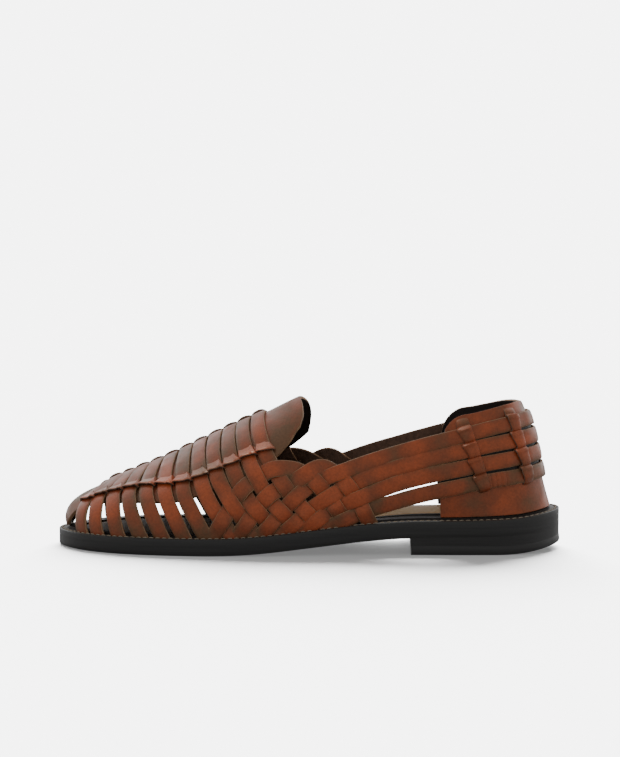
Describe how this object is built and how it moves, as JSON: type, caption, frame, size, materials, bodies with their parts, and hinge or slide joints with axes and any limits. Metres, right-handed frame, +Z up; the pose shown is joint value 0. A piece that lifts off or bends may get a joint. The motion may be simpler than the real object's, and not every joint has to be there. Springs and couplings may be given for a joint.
{
  "type": "woven leather loafer",
  "caption": "Slip-on leather loafer with a woven strap upper, a bridged apron and tongue, a slotted heel counter, a stitched welt and a low stacked heel.",
  "frame": {"origin": "on the floor, under the middle of the shoe's bounding box", "axes": "+X towards the heel, -X towards the toe, -Y towards the outer (lateral) side, +Z up"},
  "size_m": [0.3005, 0.1031, 0.0896],
  "materials": {
    "sole_black": "satin",
    "welt_brown": "satin",
    "insole_tan": "matte",
    "strap_leather": "burnished",
    "apron_leather": "burnished",
    "counter_leather": "burnished"
  },
  "bodies": {
    "root": {"outsole": "sole_black", "welt": "welt_brown", "heel_stack": "sole_black", "heel_top_piece": "sole_black", "insole": "insole_tan", "upper": "strap_leather", "apron_tongue": "apron_leather", "heel_counter": "counter_leather"}
  },
  "joints": []
}
